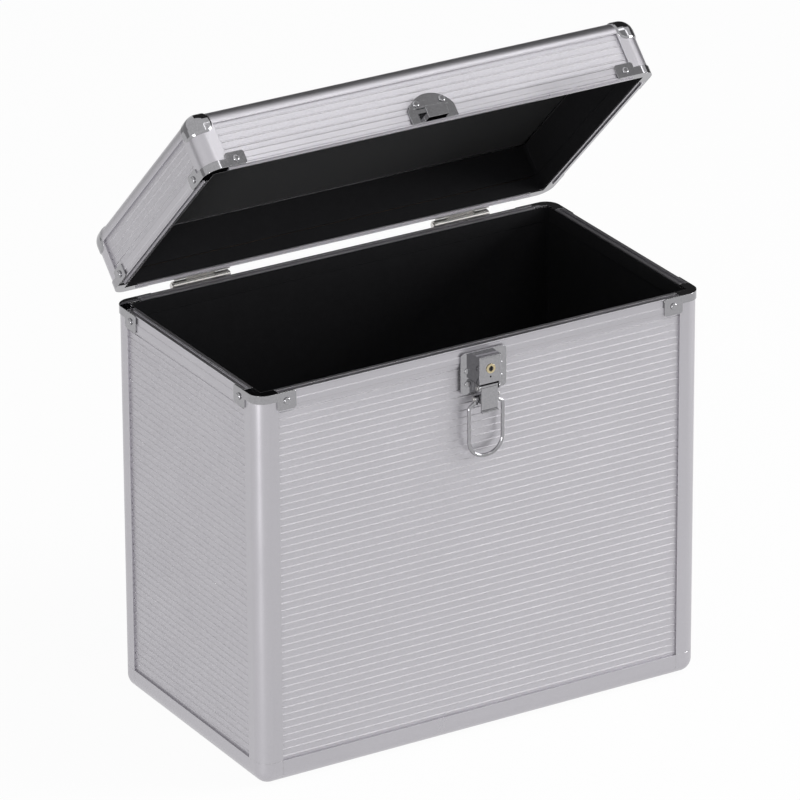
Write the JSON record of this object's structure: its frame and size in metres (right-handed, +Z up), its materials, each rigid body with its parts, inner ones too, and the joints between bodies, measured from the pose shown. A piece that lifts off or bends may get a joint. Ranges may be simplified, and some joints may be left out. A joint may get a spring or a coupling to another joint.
{
  "type": "record carrying case",
  "caption": "Aluminium framed carrying case for vinyl records with ribbed panels, a hinged lid, a keyed draw latch and a folding handle; lid tilted open.",
  "frame": {"origin": "on the floor under the middle of the whole part with its lid open; the middle of the box is 10 mm in front of it", "axes": "+X to the right seen from the front, -Y to the front with the latch, +Z up"},
  "size_m": [0.3562, 0.2362, 0.4604],
  "materials": {
    "board": "matte",
    "chrome": "polished",
    "foot_rubber": "matte",
    "grip_plastic": "satin",
    "key_brass": "satin",
    "lining": "matte",
    "nickel": "gloss",
    "profile": "satin",
    "ribbed_skin": "satin",
    "rivet_metal": "gloss",
    "steel": "satin"
  },
  "bodies": {
    "case_body": {"body_front_board": "board", "body_back_board": "board", "body_side_boards": "board", "body_bottom_board": "board", "body_front_skin": "ribbed_skin", "body_back_skin": "ribbed_skin", "body_side_skins": "ribbed_skin", "body_wall_lining": "lining", "body_floor_lining": "lining", "body_corner_profiles": "profile", "body_base_profiles_long": "profile", "body_base_profiles_short": "profile", "body_rim_front": "profile", "body_rim_back": "profile", "body_rim_sides": "profile", "base_corner_caps": "profile", "body_rim_brackets": "chrome", "body_bracket_rivets": "rivet_metal", "feet": "foot_rubber", "foot_screws": "steel", "latch_base_plate": "nickel", "latch_lock_housing": "nickel", "latch_plate_rivets": "rivet_metal", "latch_lever_pin": "steel", "hinge_body_leaves": "nickel", "hinge_pins": "steel", "hinge_body_rivets": "rivet_metal"},
    "lid": {"lid_top_board": "board", "lid_front_board": "board", "lid_back_board": "board", "lid_side_boards": "board", "lid_top_skin": "ribbed_skin", "lid_front_skin": "ribbed_skin", "lid_back_skin": "ribbed_skin", "lid_side_skins": "ribbed_skin", "lid_wall_lining": "lining", "lid_top_lining": "lining", "lid_edge_profiles_long": "profile", "lid_edge_profiles_short": "profile", "lid_corner_profiles": "profile", "lid_rim_front": "profile", "lid_rim_back": "profile", "lid_rim_sides": "profile", "lid_ball_corners": "chrome", "lid_rim_brackets": "chrome", "lid_bracket_rivets": "rivet_metal", "hinge_lid_leaves": "nickel", "hinge_lid_rivets": "rivet_metal", "keeper_plate": "nickel", "keeper_rivets": "rivet_metal", "handle_mounts": "nickel", "handle_mount_screws": "steel", "handle_pins": "steel"},
    "key": {"latch_key_plug": "key_brass"},
    "lever": {"latch_lever": "nickel"},
    "loop_rod": {"latch_loop_rod": "steel"},
    "wire_loop": {"latch_loop": "nickel"},
    "handle": {"handle_grip": "grip_plastic"}
  },
  "joints": [
    {"name": "lid_hinge", "type": "hinge", "parent": "case_body", "child": "lid", "pos_m": [0, 0.0935, 0.2895], "axis": [-1, 0, 0], "range_deg": [-45, 50]},
    {"name": "latch_lever", "type": "hinge", "parent": "case_body", "child": "lever", "pos_m": [0, -0.114, 0.2627], "axis": [-1, 0, 0], "range_deg": [0, 90]},
    {"name": "loop_rod", "type": "hinge", "parent": "lever", "child": "loop_rod", "pos_m": [0, -0.1113, 0.2542], "axis": [-1, 0, 0], "range_deg": [-90, 0]},
    {"name": "loop_swing", "type": "hinge", "parent": "loop_rod", "child": "wire_loop", "pos_m": [0, -0.1113, 0.2542], "axis": [-1, 0, 0], "range_deg": [0, 180]},
    {"name": "key_turn", "type": "hinge", "parent": "case_body", "child": "key", "pos_m": [0, -0.1185, 0.277], "axis": [0, 1, 0], "range_deg": [0, 90]},
    {"name": "handle_fold", "type": "hinge", "parent": "lid", "child": "handle", "pos_m": [0, 0.05737, 0.39974], "axis": [1, 0, 0], "range_deg": [0, 180]}
  ],
  "couplings": [
    {"joint": "loop_rod", "follows": "latch_lever", "ratio": -1}
  ]
}
